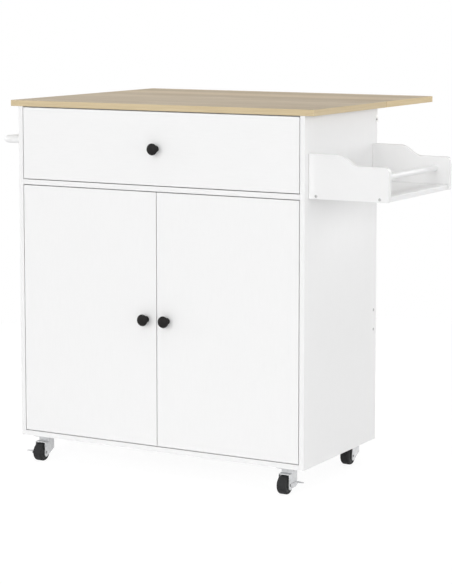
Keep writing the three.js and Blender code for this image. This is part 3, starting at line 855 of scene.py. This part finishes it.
def hinge_cup(centre):
    """A bowl, two ears with screws, and the pin across it."""
    parts = [turned(CUP_PROFILE, facing(Y, centre), steps=48),
             turned(CUP_PIN_PROFILE, facing(X, centre - Y * CUP_PIN_DEEP * MM), steps=16)]
    outline = rectangle(-EAR_WIDE, EAR_NEAR, EAR_WIDE, EAR_FAR)
    for up in (-Z, Z):
        seat = centre + Y * (FLANGE - EAR_GAUGE) * MM
        parts.append(plate(outline, EAR_GAUGE, laid(X, up, Y, seat), rounding=4.0, ease=0.3))
        parts.append(screw(facing(Y, centre + (up * EAR_SCREW + Y * FLANGE) * MM), "hinge cup"))
    return parts


def hinge_arm(sign, up):
    """A base plate on the side panel, the bent arm on it and the tongue over the cup."""
    wall = sign * (INSIDE - HINGE_SEAT)
    away = -sign * X
    base = plate(rectangle(BASE_FRONT, -BASE_HALF, BASE_REAR, BASE_HALF), ARM_BASE,
                 laid(Y, Z, away, at(wall, 0, up)), rounding=5.0, ease=0.4)
    from_side = laid(Y, away, Z, at(wall, 0, up))
    arm = plate(ARM_SIDE, ARM_HEIGHT, from_side @ shifted(Z * -ARM_HEIGHT / 2),
                rounding=1.2, ease=1.2)
    tongue = plate(rectangle(TONGUE_FRONT, TONGUE_NEAR, TONGUE_REAR, TONGUE_FAR), 2 * TONGUE_HALF,
                   from_side @ shifted(Z * -TONGUE_HALF), rounding=1.2, ease=0.8)
    parts = [base, arm, tongue]
    for rise in (-BASE_SCREW_RISE, BASE_SCREW_RISE):
        spot = at(wall - sign * ARM_BASE, BASE_SCREW_BACK, up + rise)
        parts.append(screw(facing(away, spot), "hinge base"))
    for back in ARM_SCREWS:
        parts.append(screw(facing(away, at(wall - sign * ARM_OUT, back, up)), "hinge arm"))
    return parts


for hand, sign in HANDS.items():
    for level in LEVELS:
        where = f"{hand}_{level}"
        centre = cup_centre(hand, level)
        piece(f"hinge_cup_{where}_pressed", hinge_cup(centre), [nickel], "door_" + hand,
              ["hinge_cup_" + where])
        piece(f"hinge_arm_{where}_pressed", hinge_arm(sign, centre.z / MM), [nickel], "cabinet",
              ["hinge_arm_" + where])

# %% [markdown]
# ## Spice rack
# Two painted boards with a wave cut into their top edge hold a shelf and a round rail. The wave
# is one Bezier curve between a level high part and a level low part, with rounded outer corners.
# The outline is drawn whole and then raised, which keeps the cut edge cleaner than a Boolean would.
# The shelf stops a little short of the rear board, so a thin line of shade shows between them.

# %% Spice rack
rack_near, rack_far = measured("rack_board_front")
RACK_WALL, RACK_LOW = rack_near.x, rack_near.z
RACK_OUT, RACK_HIGH = rack_far.x, rack_far.z
RACK_DIP = 786.5
SHELF_GAP = 1.5
WAVE_START, WAVE_LEAD = OUTSIDE + 70, 28
WAVE_END, WAVE_TAIL = OUTSIDE + 130, 25
TOP_CORNER, BOTTOM_CORNER = 11, 5
rack_outline = (
    [(RACK_WALL, RACK_LOW)]
    + arc(RACK_OUT - BOTTOM_CORNER, RACK_LOW + BOTTOM_CORNER, BOTTOM_CORNER, -90, 0)
    + arc(RACK_OUT - TOP_CORNER, RACK_DIP - TOP_CORNER, TOP_CORNER, 0, 90)
    + curved(((WAVE_END, RACK_DIP), (WAVE_END - WAVE_TAIL, RACK_DIP),
              (WAVE_START + WAVE_LEAD, RACK_HIGH), (WAVE_START, RACK_HIGH)), steps=16)
    + [(RACK_WALL, RACK_HIGH)])
RACK_SCREWS = ((422.9, 713.0), (585.5, 713.0))
for end, outward in zip(ENDS, (-Y, Y)):
    low, high = measured("rack_board_" + end)
    rack_board = plate(rack_outline, high.y - low.y, laid(X, Z, -Y, at(0, high.y, 0)), ease=1.0)
    outer_face = low.y if end == "front" else high.y
    heads = [screw(facing(outward, at(across, outer_face, up)), "rack") for across, up in RACK_SCREWS]
    piece(f"rack_{end}_painted", [rack_board], [white_paint], "cabinet",
          ["rack_board_" + end])
    piece("rack_screws_" + end, heads, [screw_steel], "cabinet")
low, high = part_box("rack_shelf")
shelf = eased_block(low, high - Y * SHELF_GAP * MM, ease=1.0)
piece("rack_shelf_painted", [shelf], [white_paint], "cabinet", ["rack_shelf"])

# %% [markdown]
# ## Spice rack rail
# The rail is a turned dowel between the two boards, with its ends just broken. It is spun from a
# profile, because a plain cylinder would have hard rims.

# %% Spice rack rail
low, high = measured("rack_rail")
radius, length, broken = (high.x - low.x) / 2, high.y - low.y, 0.4
rail = turned([(0, 0), (radius - broken, 0), (radius, broken), (radius, length - broken),
               (radius - broken, length), (0, length)],
              facing(Y, at(middle("rack_rail").x, low.y, middle("rack_rail").z)), steps=40)
piece("rack_rail_painted", [rail], [white_paint], "cabinet", ["rack_rail"])

# %% [markdown]
# ## Towel bar
# One steel tube bent into a U. A circle of edges is drawn out of the side panel, swung round the
# first bend, drawn along, swung again and drawn back to the panel. A curve with a round bevel
# would do as well, but this way follows the real bending, and the tube is a mesh from the start.

# %% Towel bar
low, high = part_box("towel_bar")
bar_radius = (high.z - low.z) / 2
BEND = 20 * MM
BEND_STEPS = 12
wall, bar_out = high.x, low.x + bar_radius
bar_front, bar_rear = low.y + bar_radius, high.y - bar_radius
bar_up = (low.z + high.z) / 2
tube = bmesh.new()
bmesh.ops.create_circle(tube, radius=bar_radius, segments=32,
                        matrix=facing(-X, Vector((wall, bar_front, bar_up))))


def draw_on(rim, step):
    """Extrudes an open rim by a step and returns the new rim."""
    made = bmesh.ops.extrude_edge_only(tube, edges=rim)["geom"]
    fresh = new_vertices(made)
    bmesh.ops.translate(tube, vec=step, verts=fresh)
    known = set(fresh)
    return [item for item in made
            if isinstance(item, bmesh.types.BMEdge) and known.issuperset(item.verts)]


def swing(rim, centre):
    """Turns an open rim a quarter round a bend and returns the new rim."""
    points = list({vertex for edge in rim for vertex in edge.verts})
    made = bmesh.ops.spin(tube, geom=points + rim, cent=centre, axis=Z, angle=-math.pi / 2,
                          steps=BEND_STEPS, use_merge=False, use_duplicate=False)["geom_last"]
    return [item for item in made if isinstance(item, bmesh.types.BMEdge)]


rim = draw_on(tube.edges[:], -X * (wall - bar_out - BEND))
rim = swing(rim, Vector((bar_out + BEND, bar_front + BEND, bar_up)))
rim = draw_on(rim, Y * (bar_rear - bar_front - 2 * BEND))
rim = swing(rim, Vector((bar_out + BEND, bar_rear - BEND, bar_up)))
rim = draw_on(rim, X * (wall - bar_out - BEND))
bmesh.ops.holes_fill(tube, edges=tube.edges[:])
piece("towel_bar_tube", [tube], [powder_coat], "cabinet", ["towel_bar"])

# %% [markdown]
# ## Caster forks
# A fork is one stamped sheet: a crown that turns under the ball race, a lower hood over the
# wheel and two legs that narrow to the axle. Its outline is drawn from the side, made as wide
# as the fork, opened below, rounded at the shoulders and given its gauge with Solidify.

# %% Caster forks
GAUGE = 1.8
TRAIL, AXLE_UP = 18.5, 22.5
FORK_HALF = 15.4
HOOD_TOP, HOOD_FRONT = 49.2, -22.4
CROWN_TOP, CROWN_FRONT, CROWN_REAR = 58.0, -6.8, 16.7
HEEL_UP = 28.0
LEG_END_BACK, LEG_END_UP, LEG_END = -17.4, 18.2, 7.4
LEG_END_FROM, LEG_END_TO = 178, 300
SHOULDER = 2.4
SIDE_ON = 0.5
leg_outline = (
    arc(LEG_END_BACK, LEG_END_UP, LEG_END, LEG_END_FROM, LEG_END_TO, steps=10)
    + [(CROWN_REAR, HEEL_UP), (CROWN_REAR, CROWN_TOP), (CROWN_FRONT, CROWN_TOP),
       (CROWN_FRONT, HOOD_TOP), (HOOD_FRONT, HOOD_TOP)])


def fork(place):
    """A stamped fork whose swivel axis is the place's Z."""
    part = plate(leg_outline, 2 * FORK_HALF, laid(Y, Z, X, -X * FORK_HALF * MM))
    part.normal_update()
    open_faces = [face for face in part.faces if abs(face.normal.x) < SIDE_ON
                  and min(vertex.co.z for vertex in face.verts) < HOOD_TOP * MM - TINY]
    bmesh.ops.delete(part, geom=open_faces, context="FACES")
    shoulders = [edge for edge in part.edges if len(edge.link_faces) == 2
                 and abs(edge.verts[0].co.x - edge.verts[1].co.x) < TINY]
    soften(part, shoulders, SHOULDER, segments=4)
    bmesh.ops.recalc_face_normals(part, faces=part.faces[:])
    bmesh.ops.solidify(part, geom=part.faces[:], thickness=GAUGE * MM)
    part.transform(place)
    return part


AXLE_PROFILE = [(0, -15.0), (1.3, -15.0), (1.7, -15.8), (2.6, -15.8), (3.4, -15.4), (3, -14), (3, 14),
                (3.4, 15.4), (2.6, 15.8), (1.7, 15.8), (1.3, 15.0), (0, 15.0)]
print("fork outline:", len(leg_outline), "points")

# %% [markdown]
# ## Caster wheels
# The wheel is turned round its axle: a hub with a raised boss and a dished web, and a tyre with
# round shoulders. They are separate closed turnings that meet at the rim, because one is hard
# nylon and the other rubber, and each keeps its own crisp edge there.

# %% Caster wheels
TREAD, WHEEL_HALF, TYRE_SHOULDER, BORE, BOSS, DISH = 22.5, 12.0, 4.9, 3.3, 9.0, 1.2
CORNER, FLAT = TREAD - TYRE_SHOULDER, WHEEL_HALF - TYRE_SHOULDER
RIM, FACE = CORNER - DISH, WHEEL_HALF - DISH
TYRE_PROFILE = (
    [(RIM, -FACE)] + arc(CORNER, -FLAT, TYRE_SHOULDER, -90, 0, steps=8)
    + arc(CORNER, FLAT, TYRE_SHOULDER, 0, 90, steps=8) + [(RIM, FACE)])
hub_side = [(BORE, WHEEL_HALF), (BORE + 0.3, WHEEL_HALF + 0.3), (BOSS - 0.5, WHEEL_HALF + 0.3),
            (BOSS, WHEEL_HALF - 0.1), (BOSS + 0.7, FACE), (RIM - 2.2, FACE - 0.2),
            (RIM - 1.4, FACE + 0.2), (RIM - 0.2, FACE + 0.1)]
HUB_PROFILE = [(radius, -out) for radius, out in hub_side] + hub_side[::-1]
print("tyre:", len(TYRE_PROFILE), "points, hub:", len(HUB_PROFILE))

# %% [markdown]
# ## Placing the casters
# All four are alike and point backwards. The plate and its race stay with the cabinet, the fork
# with its axle rides on the swivel, and the wheel rides on its own axle.

# %% Placing the casters
PLATE_HALF, PLATE_GAUGE, HOLE_OUT = 22.0, 2.5, 16.0
PLATE_UNDER = UNDERSIDE - PLATE_GAUGE
RACE_PROFILE = [(0, 60.6), (13.2, 60.6), (14, 60.0), (14, 59.2), (13, 58.6), (9, 58.4), (0, 58.4)]


def caster_pivot(name):
    """The place of a caster's swivel axis, on the floor."""
    top_plate = middle("caster_plate_" + name)
    return Matrix.Translation(at(top_plate.x, top_plate.y, 0))


for end in ENDS:
    for hand in HANDS:
        name = f"{end}_{hand}"
        pivot = caster_pivot(name)
        top_plate = plate(rectangle(-PLATE_HALF, -PLATE_HALF, PLATE_HALF, PLATE_HALF), PLATE_GAUGE,
                          pivot @ shifted(Z * PLATE_UNDER), rounding=3, ease=0.4)
        heads = [screw(pivot @ facing(-Z, Vector((u, v, PLATE_UNDER)) * MM), "caster")
                 for u in (-HOLE_OUT, HOLE_OUT) for v in (-HOLE_OUT, HOLE_OUT)]
        race = turned(RACE_PROFILE, pivot, steps=40)
        piece(f"caster_plate_{name}_stamped", [top_plate, race] + heads, [zinc], "cabinet",
              ["caster_plate_" + name])
        axle = pivot @ facing(X, Vector((0, -TRAIL, AXLE_UP)) * MM)
        rivet = turned(AXLE_PROFILE, axle, steps=24)
        look(rivet.faces, 1)
        piece(f"caster_fork_{name}_stamped", [fork(pivot), rivet], [zinc, dark_steel],
              "fork_" + name, ["caster_fork_" + name])
        tyre = turned(TYRE_PROFILE, axle, steps=56, closed=True)
        hub = turned(HUB_PROFILE, axle, steps=40, closed=True)
        look(hub.faces, 1)
        piece(f"caster_wheel_{name}_moulded", [tyre, hub], [rubber, black_nylon], "wheel_" + name,
              ["caster_wheel_" + name])

# %% [markdown]
# ## Brake levers
# The front casters lock. A pressed lever lies on the outside of one leg, and its foot tab is
# bent outwards and narrows to a round tip. The left lever is the same one turned round.

# %% Brake levers
lever_outline = [(-17, 20), (-8, 14.5), (4, 14.5), (17, 20), (17, 25.3), (-17, 25.3)]
LEVER_IN, TAB_IN, TAB_OUT, TAB_TIP_MIDDLE, TAB_TIP = 15.7, 16.3, 36.2, 11.0, 3.0
TAB_UNDER = 23.5
TURNED_ABOUT = -9.0
TAB_FRONT, TAB_REAR, TIP_TURN = 2.5, 17.0, 80
tab_outline = (
    [(TAB_IN, TAB_FRONT)]
    + arc(TAB_OUT - TAB_TIP, TAB_TIP_MIDDLE, TAB_TIP, -TIP_TURN, TIP_TURN, steps=8)
    + [(TAB_IN, TAB_REAR)])
for hand, sign in HANDS.items():
    pivot = caster_pivot("front_" + hand)
    if sign < 0:
        pivot = pivot @ laid(-X, -Y, Z, Y * 2 * TURNED_ABOUT * MM)
    lever = plate(lever_outline, GAUGE, pivot @ laid(Y, Z, X, X * LEVER_IN * MM),
                  rounding=1.2, ease=0.3)
    tab = plate(tab_outline, GAUGE, pivot @ shifted(Z * TAB_UNDER), ease=0.4)
    piece(f"brake_pedal_{hand}_pressed", [lever, tab], [zinc], "pedal_" + hand,
          ["brake_pedal_" + hand])

# %% [markdown]
# ## Leaf stays
# A flat bar with a rounded end holds the leaf level. It turns on a pin between two lugs of a
# plate screwed to the back. Bar and plate are outlines raised to their gauge, much as the real
# ones are punched from sheet.

# %% Leaf stays
STAY_BACK, STAY_UP, STAY_RISE = 395.2, 817.0, math.radians(30)
STAY_LENGTH, STAY_HALF, STAY_GAUGE, STAY_TAIL, STAY_ROUND = 155.0, 8.0, 3.0, 1.4, 5.0
LUG_NEAR, LUG_FAR, LUG_REACH, LUG_TIP = 8.3, 10.5, 2.0, 397.0
BRACKET_FRONT, BRACKET_GAUGE, BRACKET_LOW, BRACKET_HIGH = 392.3, 0.7, 792.0, 852.0
BRACKET_SCREW = 9.0
STAY_PIN_PROFILE = [(0, -9.0), (0.9, -9.0), (0.9, 9.0), (0, 9.0)]
stay_outline = (
    [(-STAY_TAIL, -STAY_HALF)]
    + arc(STAY_LENGTH - STAY_ROUND, STAY_ROUND - STAY_HALF, STAY_ROUND, -90, 0)
    + arc(STAY_LENGTH - STAY_ROUND, STAY_HALF - STAY_ROUND, STAY_ROUND, 0, 90)
    + [(-STAY_TAIL, STAY_HALF)])
for hand in HANDS:
    across = middle("stay_bracket_" + hand).x
    rising = Matrix.Translation(at(across, STAY_BACK, STAY_UP)) @ Matrix.Rotation(STAY_RISE, 4, "X")
    bar = plate(stay_outline, STAY_GAUGE, rising @ laid(Y, -X, Z, Z * -STAY_GAUGE / 2 * MM), ease=0.5)
    piece(f"stay_bar_{hand}_pressed", [bar], [nickel], "stay_" + hand,
          ["stay_bar_" + hand])
    parts = [plate(rectangle(-LUG_FAR, BRACKET_LOW, LUG_FAR, BRACKET_HIGH), BRACKET_GAUGE,
                   laid(X, Z, Y, at(across, BRACKET_FRONT, 0)), rounding=3, ease=0.2)]
    for first, last in ((-LUG_FAR, -LUG_NEAR), (LUG_NEAR, LUG_FAR)):
        parts.append(eased_block(at(across + first, BRACKET_FRONT, STAY_UP - LUG_REACH),
                                 at(across + last, LUG_TIP, STAY_UP + LUG_REACH), ease=0.5))
    parts.append(turned(STAY_PIN_PROFILE, facing(X, at(across, STAY_BACK, STAY_UP)), steps=16))
    parts += [screw(facing(Y, at(across, BRACKET_FRONT + BRACKET_GAUGE, up)), "stay")
              for up in (BRACKET_LOW + BRACKET_SCREW, BRACKET_HIGH - BRACKET_SCREW)]
    piece(f"stay_bracket_{hand}_pressed", parts, [nickel], "cabinet",
          ["stay_bracket_" + hand])

# %% [markdown]
# ## Leaf hinge screws
# The long hinge already has its true shape, so it is kept as measured. Only the flat heads of
# its screws are added: a row into the back and a row into the underside of the leaf.

# %% Leaf hinge screws
SCREW_COUNT, SCREW_PITCH = 10, 70
FIRST_SCREW = -SCREW_PITCH * (SCREW_COUNT - 1) / 2
HINGE_SCREWS = [FIRST_SCREW + SCREW_PITCH * step for step in range(SCREW_COUNT)]
FIXED_FLAP, FIXED_ROW, MOVING_ROW, FLAP_GAUGE = 393.5, 882.0, 411.0, 1.5
FLAP_UNDER = measured("drop_leaf")[0].z - FLAP_GAUGE
fixed = [screw(facing(Y, at(across, FIXED_FLAP, FIXED_ROW)), "leaf hinge") for across in HINGE_SCREWS]
moving = [screw(facing(-Z, at(across, MOVING_ROW, FLAP_UNDER)), "leaf hinge") for across in HINGE_SCREWS]
piece("leaf_hinge_screws_fixed", fixed, [screw_steel], "cabinet")
piece("leaf_hinge_screws_moving", moving, [screw_steel], "leaf")

# %% [markdown]
# ## Pieces kept as measured
# The drawer runners, the leaf hinge and the tracks already have their real shape, so they keep
# it and only get their plating.

# %% Pieces kept as measured
kept = [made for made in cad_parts.values() if not made.hide_render]
for made in kept:
    made.data.materials.clear()
    made.data.materials.append(nickel)
print("kept:", ", ".join(sorted(made.name for made in kept)))

# %% [markdown]
# ## Floor
# The floor is pale and matt. For the camera and for reflections it mostly glows white and keeps
# only a faint shadow near the island. Further away it turns to plain white, so it meets the
# white sky without a line.

# %% Floor
FLOOR_TONE, SEEN_TONE = 0.9, 0.16
WHITE_NEAR, WHITE_FAR = 0.91, 1.0
NEAR_FLOOR, FAR_FLOOR = 0.9, 2.2


def seen(tree):
    """One for rays from the camera, from mirrors and through glass."""
    path = node(tree, "LightPath").outputs
    some = sums(tree, "MAXIMUM", path["Is Camera Ray"], path["Is Glossy Ray"])
    return sums(tree, "MAXIMUM", some, path["Is Transmission Ray"])


floor_finish = bpy.data.materials.new("pale_floor")
floor_finish.use_nodes = True
tree = floor_finish.node_tree
tree.nodes.clear()
looked_at = seen(tree)
spot = node(tree, "TexCoord").outputs["Object"]
distance = node(tree, "VectorMath", {0: spot}, operation="LENGTH").outputs["Value"]
whiteness = ramp(tree, distance, NEAR_FLOOR, FAR_FLOOR, WHITE_NEAR, WHITE_FAR)
seen_tone = ramp(tree, distance, NEAR_FLOOR, FAR_FLOOR, SEEN_TONE, 0.0)
lasting = sums(tree, "MULTIPLY", sums(tree, "SUBTRACT", 1.0, looked_at), FLOOR_TONE)
tone = sums(tree, "ADD", lasting, sums(tree, "MULTIPLY", looked_at, seen_tone))
matt = node(tree, "BsdfDiffuse", {"Color": tone}).outputs[0]
strength = sums(tree, "MULTIPLY", looked_at, whiteness)
glow = node(tree, "Emission", {"Color": (1, 1, 1), "Strength": strength}).outputs[0]
both = node(tree, "AddShader", {0: matt, 1: glow}).outputs[0]
tree.links.new(both, node(tree, "OutputMaterial").inputs["Surface"])

FLOOR_HALF = 30
floor_mesh = bpy.data.meshes.new("floor")
sheet = bmesh.new()
bmesh.ops.create_grid(sheet, x_segments=8, y_segments=8, size=FLOOR_HALF)
sheet.to_mesh(floor_mesh)
sheet.free()
floor_mesh.materials.append(floor_finish)
floor = bpy.data.objects.new("floor", floor_mesh)
bpy.context.scene.collection.objects.link(floor)
print("floor:", 2 * FLOOR_HALF, "m wide")

# %% [markdown]
# ## Sky and lamps
# Five very wide lamps light the front, the two sides, the back and the top, like big soft
# boxes, and an even sky fills in. They are suns, which light every part of a face alike. Each has
# its direction, its level and its width in degrees. Together they give the front the light at
# which a colour renders as it is written.

# %% Sky and lamps
SKY = 0.265
world = bpy.data.worlds.new("studio")
bpy.context.scene.world = world
world.use_nodes = True
tree = world.node_tree
background = tree.nodes["Background"].inputs
background["Color"].default_value = (1, 1, 1, 1)
tree.links.new(ramp(tree, seen(tree), 0.0, 1.0, SKY, 1.0), background["Strength"])

LAMPS = {
    "key": ((0.06, -0.96, 0.20), 0.53, 50),
    "right": ((0.95, -0.20, 0.08), 0.38, 44),
    "left": ((-0.95, -0.10, 0.16), 0.36, 36),
    "behind": ((0.30, 0.93, 0.16), 0.35, 36),
    "above": ((0.10, -0.10, 0.99), 0.24, 50),
}
for name, (towards, level, width) in LAMPS.items():
    lamp_data = bpy.data.lights.new(name, "SUN")
    lamp_data.energy = level * math.pi
    lamp_data.angle = math.radians(width)
    lamp = bpy.data.objects.new(name, lamp_data)
    lamp.rotation_euler = Vector(towards).to_track_quat("Z", "Y").to_euler()
    bpy.context.scene.collection.objects.link(lamp)
bpy.context.scene.view_settings.view_transform = "Standard"
print("lamps:", ", ".join(LAMPS))
